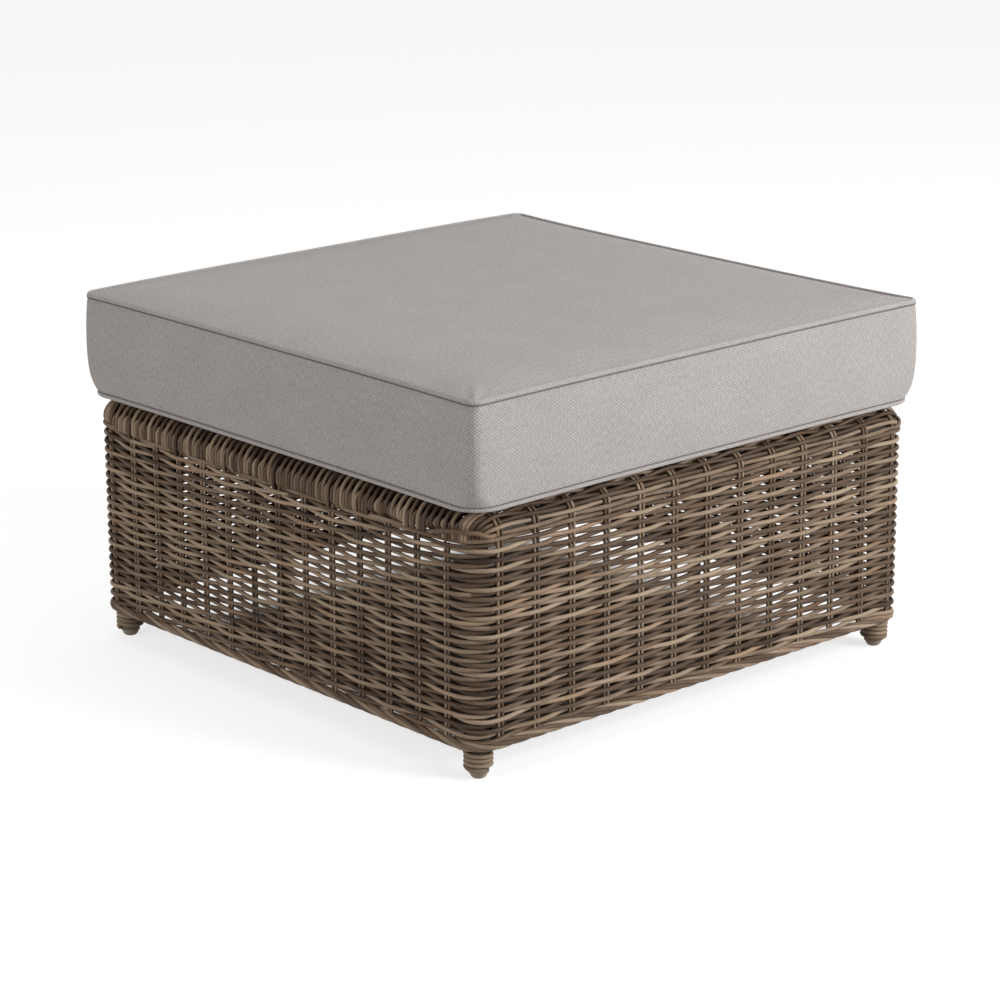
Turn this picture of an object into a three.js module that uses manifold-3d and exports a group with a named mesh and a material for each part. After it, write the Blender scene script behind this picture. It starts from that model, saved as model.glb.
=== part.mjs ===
// An outdoor wicker ottoman footstool with a loose, zipped box cushion.
// Millimetres, +Z up. The origin is on the floor under the middle of the woven base.
// X runs along the front, which faces -Y. The cushion's zip is at the back.

import * as THREE from 'three';
import { mergeVertices } from 'three/addons/utils/BufferGeometryUtils.js';
import Module from 'manifold-3d';

const wasm = await Module();
wasm.setup();

// Driving sizes of the woven base
const baseWidth = 750; // along X, over the weave
const baseDepth = 750; // along Y, over the weave
const deckHeight = 325; // floor to the top of the woven deck
const floorGap = 38; // floor to the underside of the woven sides
const weaveThickness = 13;
const cornerBend = 12.2; // plan radius of the line that the rails and posts follow
const wrapLap = 7; // how far the rail wraps reach below the rail's axis
const wovenCourses = 21; // up each side, two rows of strand in each
const clearance = 0.3; // between pieces that touch

// Driving sizes of the frame
const tubeRadius = 12.5; // posts and top rails
const tubeWall = 1.5;
const bottomRailRadius = 9;
const stayRadius = 8;
const bearerWidth = 30;
const bearerDepth = 18;
const bearerCount = 3;

// Driving sizes of the feet
const glideHeight = 9.5;
const glideRadius = 10.8;
const glideFlatRadius = 5; // what stands on the floor
const glideCollar = 2; // thickness of the rim under the post
const glideStem = 20;
const strandRadius = 2.3;
const strandGap = 0.5; // between one turn of the foot wrap and the next

// Driving sizes of the cushion
const cushionWidth = 753; // along X, over the seams at the corners
const cushionDepth = 750; // along Y, over the seams at the corners
const cushionCornerRadius = 16;
const bottomSeamLift = 7.5; // deck to the lower seam
const boxingHeight = 127.5; // lower seam to upper seam
const crown = 10; // rise of the top above its seam
const drawIn = 3.5; // how far the middle of each side is pulled in
const boxingBulge = 1.5;
const coverThickness = 1.5;
const weltRadius = 3;
const weltInset = 1; // welt's centre line inside the boxing's face
const straightShare = 0.73; // part of each side that is straight
const bulgeShare = 0.32; // height at which the boxing is fully bulged, from either seam
const crownShares = [[0.2, 1], [0.55, 0.94], [0.8, 0.74], [0.94, 0.42], [1, 0]]; // out, up
const underShares = [[0.9, 1], [0.97, 0.7], [1, 0]]; // out, down

// Driving sizes of the zip
const zipMargin = 6;
const chainWidth = 7;
const chainThickness = 1.5;
const sliderLength = 11;
const sliderWidth = 8.6;
const sliderThickness = 2.4;
const pinRadius = 0.7;
const eyeWall = 0.9;
const lugWidth = 1.2;
const lugWall = 1;
const pullLength = 22;
const pullWidth = 5;
const pullThickness = 1.2;
const pullHoleRadius = 1.2;

// Steps of the faceted rounds
const tubeSides = 20;
const slimTubeSides = 16;
const cornerSteps = 4;
const rollSteps = 3; // half the number of steps in a quarter round
const borderSides = 10;
const domeSteps = 4;
const wrapSteps = 24;
const wrapSides = 6;
const cushionCornerSteps = 3;
const weltSides = 6;
const smallSides = 12;

// Places that follow from the sizes
const railInset = weaveThickness + clearance + tubeRadius;
const cornerRadius = railInset + cornerBend;
const railHeight = deckHeight - railInset;
const postInset = cornerRadius - cornerBend * Math.SQRT1_2;
const borderRadius = weaveThickness / 2;
const wallFoot = floorGap + 2 * borderRadius + clearance;
const wrapFoot = railHeight - wrapLap;
const courseHeight = (wrapFoot - clearance - wallFoot) / wovenCourses;
const ribDepth = weaveThickness / 2; // from a row in front of a stake to one behind it
const bottomRailInset = weaveThickness + clearance + bottomRailRadius;
const bottomRailHeight = wallFoot + bottomRailRadius;
const stayInset = weaveThickness + clearance + stayRadius;
const postFoot = glideHeight + clearance;
const bottomSeam = deckHeight + bottomSeamLift;
const topSeam = bottomSeam + boxingHeight;
const panelInset = weltInset + weltRadius + clearance;

const finishes = {
  weave: { color: 0x85705d, roughness: 0.75, metalness: 0 },
  frame: { color: 0x51473f, roughness: 0.55, metalness: 0.6 },
  glide: { color: 0x4a443f, roughness: 0.6, metalness: 0 },
  fabric: { color: 0xaaa19a, roughness: 0.95, metalness: 0 },
  foam: { color: 0xe4dcc4, roughness: 1, metalness: 0 },
  zipTape: { color: 0x7d756e, roughness: 0.8, metalness: 0 },
  zipMetal: { color: 0x8f8a84, roughness: 0.35, metalness: 0.9 },
};

function piece(name, geometry, finish) {
  geometry.computeVertexNormals();
  const mesh = new THREE.Mesh(geometry, new THREE.MeshStandardMaterial(finishes[finish]));
  mesh.name = name;
  return mesh;
}

// Solid through rings of points, capped at both ends, or joined end to end without a cap outline
function loft(rings, capOutline) {
  const size = rings[0].length;
  const points = rings.flat();
  const faces = [];
  const spans = capOutline ? rings.length - 1 : rings.length;
  for (let i = 0; i < spans; i += 1) {
    const here = i * size;
    const next = ((i + 1) % rings.length) * size;
    for (let j = 0; j < size; j += 1) {
      const k = (j + 1) % size;
      faces.push([here + j, here + k, next + k], [here + j, next + k, next + j]);
    }
  }
  if (capOutline) {
    const last = points.length - size;
    for (const [a, b, c] of THREE.ShapeUtils.triangulateShape(capOutline, [])) {
      faces.push([a, c, b], [last + a, last + b, last + c]);
    }
  }
  const volume = faces.reduce((sum, [a, b, c]) => {
    const normal = new THREE.Vector3().crossVectors(points[b], points[c]);
    return sum + points[a].dot(normal);
  }, 0);
  const outward = volume > 0 ? faces : faces.map(([a, b, c]) => [a, c, b]);
  const geometry = new THREE.BufferGeometry().setFromPoints(points);
  geometry.setIndex(outward.flat());
  return geometry;
}

// Booleans
function toSolid(geometry) {
  const bare = geometry.clone();
  bare.deleteAttribute('normal');
  bare.deleteAttribute('uv');
  const merged = mergeVertices(bare);
  const mesh = new wasm.Mesh({
    numProp: 3,
    vertProperties: new Float32Array(merged.attributes.position.array),
    triVerts: new Uint32Array(merged.index.array),
  });
  return new wasm.Manifold(mesh);
}

function toGeometry(solid) {
  const mesh = solid.getMesh();
  const geometry = new THREE.BufferGeometry();
  geometry.setAttribute('position', new THREE.BufferAttribute(mesh.vertProperties, 3));
  geometry.setIndex(new THREE.BufferAttribute(mesh.triVerts, 1));
  return geometry;
}

function subtract(geometry, cutters) {
  return toGeometry(cutters.reduce((rest, cutter) => rest.subtract(toSolid(cutter)), toSolid(geometry)));
}

function join(geometries) {
  const [first, ...others] = geometries.map(toSolid);
  return toGeometry(others.reduce((sum, other) => sum.add(other), first));
}

// Straight stock from one point to another, with its section in the plane across it
function extrudeBetween(section, from, to) {
  const span = new THREE.Vector3().subVectors(to, from);
  const geometry = new THREE.ExtrudeGeometry(section, { depth: span.length(), bevelEnabled: false });
  const turn = new THREE.Quaternion().setFromUnitVectors(new THREE.Vector3(0, 0, 1), span.normalize());
  return geometry.applyQuaternion(turn).translate(from.x, from.y, from.z);
}

function roundSection(radius, sides) {
  const corners = [];
  for (let i = 0; i < sides; i += 1) {
    const angle = (i / sides) * 2 * Math.PI;
    corners.push(new THREE.Vector2(radius * Math.cos(angle), radius * Math.sin(angle)));
  }
  return new THREE.Shape(corners);
}

function tube(radius, wall, sides, from, to) {
  const section = roundSection(radius, sides);
  section.holes.push(roundSection(radius - wall, sides));
  return extrudeBetween(section, from, to);
}

function rod(radius, sides, from, to) {
  return extrudeBetween(roundSection(radius, sides), from, to);
}

// Woven sides: sections are (inset from the outer face, height above the floor)
function sectionPoints(shape) {
  const points = shape.getPoints(rollSteps);
  return THREE.ShapeUtils.isClockWise(points) ? points.reverse() : points;
}

// Runs a section along the -Y side of a base, and half way round the corner at each end
function sweepSide(section, halfLength, halfSpan) {
  const stations = [];
  for (let i = cornerSteps; i >= 0; i -= 1) stations.push({ end: -1, turn: i / cornerSteps });
  for (let i = 0; i <= cornerSteps; i += 1) stations.push({ end: 1, turn: i / cornerSteps });
  const rings = stations.map(({ end, turn }) => section.map((point) => {
    const radius = cornerRadius - point.x;
    const angle = turn * (Math.PI / 4 - Math.asin(clearance / 2 / radius));
    return new THREE.Vector3(
      end * (halfLength - cornerRadius + radius * Math.sin(angle)),
      cornerRadius - halfSpan - radius * Math.cos(angle),
      point.y,
    );
  }));
  return loft(rings, section);
}

// Up the outer face, with one rib in each course, where a row of strand stands proud of the stakes
function climb(shape, foot, courses) {
  shape.moveTo(courses > 0 ? ribDepth : 0, foot);
  for (let i = 0; i < courses; i += 1) {
    shape.lineTo(0, foot + (i + 1 / 2) * courseHeight);
    shape.lineTo(ribDepth, foot + (i + 1) * courseHeight);
  }
}

// A wall that rolls over the top rail to the deck's edge
function rolledSection(foot, courses) {
  const shape = new THREE.Shape();
  climb(shape, foot, courses);
  shape.lineTo(0, railHeight);
  shape.absarc(railInset, railHeight, railInset, Math.PI, Math.PI / 2, true);
  shape.lineTo(railInset, deckHeight - weaveThickness);
  shape.absarc(railInset, railHeight, railInset - weaveThickness, Math.PI / 2, Math.PI, false);
  shape.lineTo(weaveThickness, foot);
  return sectionPoints(shape);
}

function flatSection(foot, courses) {
  const shape = new THREE.Shape();
  climb(shape, foot, courses);
  shape.lineTo(weaveThickness, foot + courses * courseHeight);
  shape.lineTo(weaveThickness, foot);
  return sectionPoints(shape);
}

function borderSection() {
  return roundSection(borderRadius, borderSides).getPoints()
    .map((point) => point.add(new THREE.Vector2(borderRadius, floorGap + borderRadius)));
}

// Rails and stays of one side, in the same frame as sweepSide
function copedRail(radius, inset, height, sides, halfLength, halfSpan) {
  const end = halfLength - cornerRadius;
  const y = inset - halfSpan;
  const rail = tube(radius, tubeWall, sides,
    new THREE.Vector3(-end, y, height), new THREE.Vector3(end, y, height));
  const posts = [-1, 1].map((sign) => {
    const x = sign * (halfLength - postInset);
    const foot = new THREE.Vector3(x, postInset - halfSpan, 0);
    return rod(tubeRadius + clearance, tubeSides, foot, foot.clone().setZ(deckHeight));
  });
  return subtract(rail, posts);
}

function sideStay(halfLength, halfSpan) {
  const foot = new THREE.Vector3(0, stayInset - halfSpan, bottomRailHeight);
  const stay = tube(stayRadius, tubeWall, slimTubeSides, foot, foot.clone().setZ(railHeight));
  const rails = [
    [tubeRadius, railInset, railHeight, tubeSides],
    [bottomRailRadius, bottomRailInset, bottomRailHeight, slimTubeSides],
  ].map(([radius, inset, height, sides]) => {
    const start = new THREE.Vector3(-halfLength, inset - halfSpan, height);
    return rod(radius + clearance, sides, start, start.clone().setX(halfLength));
  });
  return subtract(stay, rails);
}

function sideOfBase(name, quarterTurns) {
  const alongX = quarterTurns % 2 === 0;
  const halfLength = (alongX ? baseWidth : baseDepth) / 2;
  const halfSpan = (alongX ? baseDepth : baseWidth) / 2;
  const side = new THREE.Group();
  side.rotation.z = quarterTurns * Math.PI / 2;
  side.add(
    piece(`top_rail_${name}`,
      copedRail(tubeRadius, railInset, railHeight, tubeSides, halfLength, halfSpan), 'frame'),
    piece(`bottom_rail_${name}`,
      copedRail(bottomRailRadius, bottomRailInset, bottomRailHeight, slimTubeSides,
        halfLength, halfSpan), 'frame'),
    piece(`side_stay_${name}`, sideStay(halfLength, halfSpan), 'frame'),
    piece(`bottom_border_${name}`, sweepSide(borderSection(), halfLength, halfSpan), 'weave'),
  );
  if (alongX) {
    side.add(piece(`woven_wall_${name}`,
      sweepSide(rolledSection(wallFoot, wovenCourses), halfLength, halfSpan), 'weave'));
  } else {
    side.add(
      piece(`woven_wall_${name}`,
        sweepSide(flatSection(wallFoot, wovenCourses), halfLength, halfSpan), 'weave'),
      piece(`rail_wrap_${name}`,
        sweepSide(rolledSection(wrapFoot, 0), halfLength, halfSpan), 'weave'),
    );
  }
  return side;
}

// Deck and the bearers under it
function wovenDeck() {
  const x = baseWidth / 2 - cornerRadius;
  const y = baseDepth / 2 - cornerRadius;
  const radius = cornerBend - clearance;
  const outline = new THREE.Shape();
  outline.absarc(x, y, radius, 0, Math.PI / 2);
  outline.absarc(-x, y, radius, Math.PI / 2, Math.PI);
  outline.absarc(-x, -y, radius, Math.PI, 1.5 * Math.PI);
  outline.absarc(x, -y, radius, 1.5 * Math.PI, 2 * Math.PI);
  const slab = new THREE.ExtrudeGeometry(outline,
    { depth: weaveThickness, bevelEnabled: false, curveSegments: rollSteps });
  const deck = piece('woven_deck', slab, 'weave');
  deck.position.z = deckHeight - weaveThickness;
  return deck;
}

function rectangle(width, height) {
  const corners = [[-1, -1], [1, -1], [1, 1], [-1, 1]]
    .map(([x, y]) => new THREE.Vector2(x * width / 2, y * height / 2));
  return new THREE.Shape(corners);
}

function seatBearer(name, x) {
  const section = rectangle(bearerWidth, bearerDepth);
  section.holes.push(rectangle(bearerWidth - 2 * tubeWall, bearerDepth - 2 * tubeWall));
  const end = baseDepth / 2 - railInset;
  const height = railHeight + tubeRadius - bearerDepth / 2;
  const stock = new THREE.ExtrudeGeometry(section, { depth: 2 * end, bevelEnabled: false });
  stock.rotateX(Math.PI / 2).translate(0, end, height);
  const rails = [-end, end].map((y) => {
    const start = new THREE.Vector3(-bearerWidth, y, railHeight);
    return rod(tubeRadius + clearance, tubeSides, start, start.clone().setX(bearerWidth));
  });
  const bearer = piece(name, subtract(stock, rails), 'frame');
  bearer.position.x = x;
  return bearer;
}

// Corner posts, glides and foot wraps, each about its own upright axis
function latheUpright(profile) {
  return mergeVertices(new THREE.LatheGeometry(profile, tubeSides).rotateX(Math.PI / 2));
}

function dome(radius, height) {
  const points = [];
  for (let i = 0; i <= domeSteps; i += 1) {
    const angle = (i / domeSteps) * Math.PI / 2;
    points.push(new THREE.Vector2(radius * Math.cos(angle), height + radius * Math.sin(angle)));
  }
  return points;
}

function post() {
  const bore = tubeRadius - tubeWall;
  return latheUpright([
    ...dome(bore, railHeight).reverse(),
    new THREE.Vector2(bore, postFoot),
    new THREE.Vector2(tubeRadius, postFoot),
    ...dome(tubeRadius, railHeight),
  ]);
}

function footGlide() {
  const profile = [new THREE.Vector2(0, 0)];
  for (let i = 0; i <= domeSteps; i += 1) {
    const angle = (i / domeSteps) * Math.PI / 2;
    profile.push(new THREE.Vector2(
      glideFlatRadius + (glideRadius - glideFlatRadius) * Math.sin(angle),
      (glideHeight - glideCollar) * (1 - Math.cos(angle)),
    ));
  }
  const stemRadius = tubeRadius - tubeWall - clearance;
  profile.push(
    new THREE.Vector2(tubeRadius, glideHeight - glideCollar),
    new THREE.Vector2(tubeRadius, glideHeight),
    new THREE.Vector2(stemRadius, glideHeight),
    new THREE.Vector2(stemRadius, glideHeight + glideStem),
    new THREE.Vector2(0, glideHeight + glideStem),
  );
  return latheUpright(profile);
}

// The foot wrap's strand: a helix round the post, with a straight end at each side
const wrapRadius = tubeRadius + clearance + strandRadius;
const wrapStart = postFoot + strandRadius;
const wrapRise = floorGap - clearance - strandRadius - wrapStart;
const wrapPitch = 2 * strandRadius + strandGap;
const wrapTurns = wrapRise / wrapPitch;

function helixPoint(turns) {
  const angle = turns * 2 * Math.PI;
  return new THREE.Vector3(
    wrapRadius * Math.cos(angle),
    wrapRadius * Math.sin(angle),
    wrapStart + turns * wrapPitch,
  );
}

function helixTangent(turns) {
  const angle = turns * 2 * Math.PI;
  return new THREE.Vector3(
    -wrapRadius * Math.sin(angle),
    wrapRadius * Math.cos(angle),
    wrapPitch / (2 * Math.PI),
  ).normalize();
}

function footWrapRoute() {
  const steps = Math.ceil(wrapTurns * wrapSteps);
  const route = [];
  for (let i = 0; i <= steps; i += 1) {
    const turns = (i / steps) * wrapTurns;
    route.push({ turns, centre: helixPoint(turns), tangent: helixTangent(turns) });
  }
  const first = route[0];
  const last = route[steps];
  route.unshift({ ...first, centre: first.centre.clone().addScaledVector(first.tangent, -2 * strandRadius) });
  route.push({ ...last, centre: last.centre.clone().addScaledVector(last.tangent, 2 * strandRadius) });
  return route;
}

function footWrap(route) {
  const outline = roundSection(strandRadius, wrapSides).getPoints();
  const rings = route.map(({ turns, centre, tangent }) => {
    const angle = turns * 2 * Math.PI;
    const outward = new THREE.Vector3(Math.cos(angle), Math.sin(angle), 0);
    const upward = new THREE.Vector3().crossVectors(outward, tangent);
    return outline.map((point) => centre.clone()
      .addScaledVector(outward, point.x)
      .addScaledVector(upward, point.y));
  });
  return loft(rings, outline);
}

// Least gap between points of the strand that lie half a turn or more apart
function leastGap(route) {
  let least = Infinity;
  for (let i = 0; i < route.length; i += 1) {
    for (let j = i + Math.ceil(wrapSteps / 2); j < route.length; j += 1) {
      least = Math.min(least, route[i].centre.distanceTo(route[j].centre) - 2 * strandRadius);
    }
  }
  return least;
}

function cornerOfBase(name, quarterTurns, route) {
  const corner = new THREE.Group();
  const away = new THREE.Vector2(baseWidth / 2 - postInset, baseDepth / 2 - postInset);
  corner.position.x = [-1, 1, 1, -1][quarterTurns] * away.x;
  corner.position.y = [-1, -1, 1, 1][quarterTurns] * away.y;
  corner.rotation.z = quarterTurns * Math.PI / 2 - Math.PI / 4;
  corner.add(
    piece(`post_${name}`, post(), 'frame'),
    piece(`foot_glide_${name}`, footGlide(), 'glide'),
    piece(`foot_wrap_${name}`, footWrap(route), 'weave'),
  );
  return corner;
}

// Cushion outlines, in plan, anticlockwise from the +X side's end
function cushionOutline(inset) {
  const halfX = cushionWidth / 2 - inset;
  const halfY = cushionDepth / 2 - inset;
  const straightX = straightShare * cushionWidth / 2;
  const straightY = straightShare * cushionDepth / 2;
  const radius = cushionCornerRadius - inset;
  const corners = [[1, 1], [-1, 1], [-1, -1], [1, -1]];
  return corners.flatMap(([x, y], k) => {
    const points = [];
    for (let i = 0; i <= cushionCornerSteps; i += 1) {
      const angle = (k + i / cushionCornerSteps) * Math.PI / 2;
      points.push(new THREE.Vector2(
        x * (halfX - radius) + radius * Math.cos(angle),
        y * (halfY - radius) + radius * Math.sin(angle),
      ));
    }
    if (k % 2 === 0) {
      points.push(new THREE.Vector2(x * straightX, y * (halfY - drawIn)));
      points.push(new THREE.Vector2(-x * straightX, y * (halfY - drawIn)));
    } else {
      points.push(new THREE.Vector2(x * (halfX - drawIn), y * straightY));
      points.push(new THREE.Vector2(x * (halfX - drawIn), -y * straightY));
    }
    return points;
  });
}

function ringAt(inset, height) {
  return cushionOutline(inset).map((point) => new THREE.Vector3(point.x, point.y, height));
}

function shrunkRing(share, height) {
  return ringAt(panelInset, height).map((point) => point.multiply(new THREE.Vector3(share, share, 1)));
}

// A cover panel, from its middle out to the seam and back, one cloth thick
function coverPanel(shares, seam, rise) {
  const face = (side) => shares.map(([out, up]) => (
    shrunkRing(out, seam + side * coverThickness / 2 + up * rise)));
  const rings = [...face(1), ...face(-1).reverse()];
  return loft(rings, cushionOutline(panelInset));
}

const bulgeLift = bulgeShare * boxingHeight;

function coverBoxing() {
  const foot = bottomSeam + weltRadius + clearance;
  const head = topSeam - weltRadius - clearance;
  const outside = [
    [0, foot],
    [-boxingBulge, bottomSeam + bulgeLift],
    [-boxingBulge, topSeam - bulgeLift],
    [0, head],
  ];
  const inside = outside.map(([inset, height]) => [inset + coverThickness, height]).reverse();
  return loft([...outside, ...inside].map(([inset, height]) => ringAt(inset, height)));
}

function welt(seam) {
  const section = roundSection(weltRadius, weltSides).getPoints();
  return loft(section.map((point) => ringAt(weltInset + point.x, seam + point.y)));
}

function foamCore() {
  const skin = coverThickness + clearance;
  const below = bottomSeam + coverThickness / 2 + clearance;
  const above = topSeam - coverThickness / 2 - clearance;
  const underDrop = bottomSeam - coverThickness / 2 - clearance - deckHeight;
  const rings = [
    ...underShares.filter((row, i) => i !== 1).map(([out, down]) => (
      shrunkRing(out, below - down * underDrop))),
    ringAt(skin, bottomSeam + weltRadius + clearance),
    ringAt(skin - boxingBulge, bottomSeam + bulgeLift),
    ringAt(skin - boxingBulge, topSeam - bulgeLift),
    ringAt(skin, topSeam - weltRadius - clearance),
    ...crownShares.filter((row, i) => i % 2 === 0).reverse().map(([out, up]) => (
      shrunkRing(out, above + up * crown))),
  ];
  return loft(rings, cushionOutline(panelInset));
}

// Zip: the chain lies on the straight middle of the back boxing
const backFace = cushionDepth / 2 - drawIn + boxingBulge;
const zipHeight = bottomSeam + boxingHeight / 2;
const zipLength = straightShare * cushionWidth - 2 * zipMargin;
const sliderFoot = backFace + clearance + chainThickness + clearance;
const eyeRadius = pinRadius + clearance + eyeWall;
const pinY = sliderFoot + sliderThickness + clearance + eyeRadius;
const pinZ = pullWidth / 2 + clearance + lugWidth;

function zipChain() {
  const chain = piece('zip_chain',
    new THREE.BoxGeometry(zipLength, chainThickness, chainWidth), 'zipTape');
  chain.position.set(0, backFace + clearance + chainThickness / 2, zipHeight);
  return chain;
}

function zipSlider() {
  const body = new THREE.BoxGeometry(sliderLength, sliderThickness, sliderWidth)
    .translate(0, sliderFoot + sliderThickness / 2 - pinY, 0);
  const lugRadius = pinRadius + lugWall;
  const lugFoot = sliderFoot + sliderThickness / 2 - pinY;
  const lugShape = new THREE.Shape();
  lugShape.moveTo(-lugRadius, lugFoot);
  lugShape.lineTo(lugRadius, lugFoot);
  lugShape.absarc(0, 0, lugRadius, 0, Math.PI, false);
  const lugs = [-pinZ, pinZ - lugWidth].map((z) => new THREE.ExtrudeGeometry(lugShape,
    { depth: lugWidth, bevelEnabled: false, curveSegments: smallSides / 4 }).translate(0, 0, z));
  const pin = rod(pinRadius, smallSides, new THREE.Vector3(0, 0, -pinZ + lugWidth / 2),
    new THREE.Vector3(0, 0, pinZ - lugWidth / 2));
  return piece('zip_slider', join([body, ...lugs, pin]), 'zipMetal');
}

function zipPull() {
  const top = new THREE.Vector3(0, 0, pullWidth / 2);
  const bottom = new THREE.Vector3(0, 0, -pullWidth / 2);
  const eye = rod(eyeRadius, smallSides, bottom, top);
  const outline = new THREE.Shape();
  const roundEnd = pullLength - pullWidth / 2;
  outline.moveTo(0, -pullWidth / 2);
  outline.absarc(roundEnd, 0, pullWidth / 2, -Math.PI / 2, Math.PI / 2, false);
  outline.lineTo(0, pullWidth / 2);
  const hole = new THREE.Path();
  hole.absarc(roundEnd, 0, pullHoleRadius, 0, 2 * Math.PI, false);
  outline.holes.push(hole);
  const tab = new THREE.ExtrudeGeometry(outline,
    { depth: pullThickness, bevelEnabled: false, curveSegments: smallSides / 2 })
    .translate(0, 0, -pullThickness / 2)
    .rotateX(Math.PI / 2);
  const bore = rod(pinRadius + clearance, smallSides,
    bottom.clone().multiplyScalar(2), top.clone().multiplyScalar(2));
  return piece('zip_pull', subtract(join([eye, tab]), [bore]), 'zipMetal');
}

function zipFittings() {
  const fittings = new THREE.Group();
  fittings.position.set(sliderLength / 2 - zipLength / 2, pinY, zipHeight);
  fittings.add(zipSlider(), zipPull());
  return fittings;
}

function cushion() {
  const parts = new THREE.Group();
  parts.add(
    piece('foam_core', foamCore(), 'foam'),
    piece('cover_top_panel', coverPanel(crownShares, topSeam, crown), 'fabric'),
    piece('cover_bottom_panel', coverPanel(underShares, bottomSeam,
      deckHeight + clearance + coverThickness / 2 - bottomSeam), 'fabric'),
    piece('cover_boxing', coverBoxing(), 'fabric'),
    piece('welt_top', welt(topSeam), 'fabric'),
    piece('welt_bottom', welt(bottomSeam), 'fabric'),
    zipChain(),
    zipFittings(),
  );
  return parts;
}

const group = new THREE.Group();
['front', 'right', 'back', 'left'].forEach((name, k) => group.add(sideOfBase(name, k)));

const wrapRoute = footWrapRoute();
console.log(`foot wrap's least gap to itself: ${leastGap(wrapRoute).toFixed(2)} mm`);
['front_left', 'front_right', 'back_right', 'back_left']
  .forEach((name, k) => group.add(cornerOfBase(name, k, wrapRoute)));

group.add(wovenDeck());
for (let i = 1; i <= bearerCount; i += 1) {
  group.add(seatBearer(`seat_bearer_${i}`, (i / (bearerCount + 1) - 1 / 2) * baseWidth));
}
group.add(cushion());

export default group;
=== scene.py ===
# An outdoor wicker ottoman footstool: an open woven base on a tube frame, under a loose box cushion.
# Metres, +Z up, in the frame's own places. The front faces -Y and the cushion's zip is at the back.
import math

import bpy
import numpy as np
from mathutils import Matrix, Vector


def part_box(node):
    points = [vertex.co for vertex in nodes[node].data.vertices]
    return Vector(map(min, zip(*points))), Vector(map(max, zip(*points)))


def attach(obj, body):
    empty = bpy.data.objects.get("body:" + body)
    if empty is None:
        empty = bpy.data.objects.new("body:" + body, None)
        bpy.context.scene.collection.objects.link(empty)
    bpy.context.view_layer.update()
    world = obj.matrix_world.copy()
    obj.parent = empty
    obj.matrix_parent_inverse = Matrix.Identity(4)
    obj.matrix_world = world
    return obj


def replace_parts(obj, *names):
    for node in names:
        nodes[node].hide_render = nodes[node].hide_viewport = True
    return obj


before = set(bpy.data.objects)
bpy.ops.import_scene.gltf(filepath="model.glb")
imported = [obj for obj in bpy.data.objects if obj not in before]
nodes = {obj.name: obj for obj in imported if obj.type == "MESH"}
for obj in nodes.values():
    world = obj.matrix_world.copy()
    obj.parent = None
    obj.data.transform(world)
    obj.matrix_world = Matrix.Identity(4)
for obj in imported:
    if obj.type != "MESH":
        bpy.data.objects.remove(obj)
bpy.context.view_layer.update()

# Camera, fitted to the photograph
CAMERA_PLACE = (-2.59725, -2.88011, 1.34830)
CAMERA_YAW = -0.734
CAMERA_PITCH = 0.290
CAMERA_ROLL = -0.003
IMAGE_SIZE = 1000
FOCAL_PIXELS = 3118.7
SENSOR_WIDTH = 36.0  # in millimetres, as Blender wants it


def linked(name, data):
    item = bpy.data.objects.new(name, data)
    bpy.context.scene.collection.objects.link(item)
    return item


def make_camera():
    data = bpy.data.cameras.new("camera")
    data.sensor_width = SENSOR_WIDTH
    data.lens = FOCAL_PIXELS / IMAGE_SIZE * SENSOR_WIDTH
    data.clip_start, data.clip_end = 0.05, 100
    camera = linked("camera", data)
    forward = Vector((
        -math.sin(CAMERA_YAW) * math.cos(CAMERA_PITCH),
        math.cos(CAMERA_YAW) * math.cos(CAMERA_PITCH),
        -math.sin(CAMERA_PITCH),
    ))
    level = Vector((math.cos(CAMERA_YAW), math.sin(CAMERA_YAW), 0))
    upright = level.cross(forward)
    right = math.cos(CAMERA_ROLL) * level + math.sin(CAMERA_ROLL) * upright
    up = right.cross(forward)
    turn = Matrix((right, up, -forward)).transposed()
    camera.matrix_world = Matrix.Translation(CAMERA_PLACE) @ turn.to_4x4()
    bpy.context.scene.camera = camera


make_camera()


# Places that the frame gives
def middle(node):
    low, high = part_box(node)
    return (low + high) / 2


HALF_WIDTH = -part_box("woven_wall_left")[0].x
HALF_DEPTH = -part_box("woven_wall_front")[0].y
DECK_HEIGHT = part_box("woven_deck")[1].z
WEAVE_THICKNESS = DECK_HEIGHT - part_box("woven_deck")[0].z
BASE_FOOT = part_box("bottom_border_front")[0].z
WALL_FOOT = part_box("woven_wall_front")[0].z
RAIL_INSET = HALF_DEPTH + middle("top_rail_front").y
RAIL_HEIGHT = DECK_HEIGHT - RAIL_INSET
POST_INSET = HALF_WIDTH + middle("post_front_left").x
CORNER_BEND = (POST_INSET - RAIL_INSET) / (1 - math.sqrt(1 / 2))
CORNER_RADIUS = RAIL_INSET + CORNER_BEND
MIDDLE_RADIUS = RAIL_INSET - WEAVE_THICKNESS / 2  # of the roll, at the middle of the weave
CREST = RAIL_HEIGHT + MIDDLE_RADIUS * math.pi / 2  # rise at which the roll meets the deck
HALF_CORNER = CORNER_RADIUS * math.pi / 4
DECK_MIDDLE = CREST + HALF_DEPTH - RAIL_INSET  # rise there, from the front or the back

# The weave's own sizes
STRAND = 0.0057  # diameter
SIDE_STRAND = 0.0051  # of the rows on the left and right
STAKE = 0.0041
STAKE_GAP = 0.0060  # between the two stakes of a pair, middle to middle
ROW_PITCH = 0.00575  # on the deck
SWING = 0.0037  # how far a strand lies from the middle of the weave at a stake
WRAP_OFFSET = 0.0026  # how far the rail wraps lie outside the middle of the weave
RING_ROWS = 43
FIRST_ROW = WALL_FOOT + STRAND / 2
TOP_ROW_FRONT, TOP_ROW_SIDE, TOP_ROW_CORNER = 0.2914, 0.2845, 0.2930
TOP_ROW_BOW, TOP_ROW_PROUD = 0.0021, 0.0010  # up and outwards, in front of every other pair
TIGHTER = 0.02  # how much closer than the mean the lowest rows lie
CORNER_DIP, CORNER_DIP_SPAN, CORNER_DIP_ROWS = 0.0045, 0.035, 6  # how the lowest rows hang at the corners
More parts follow.
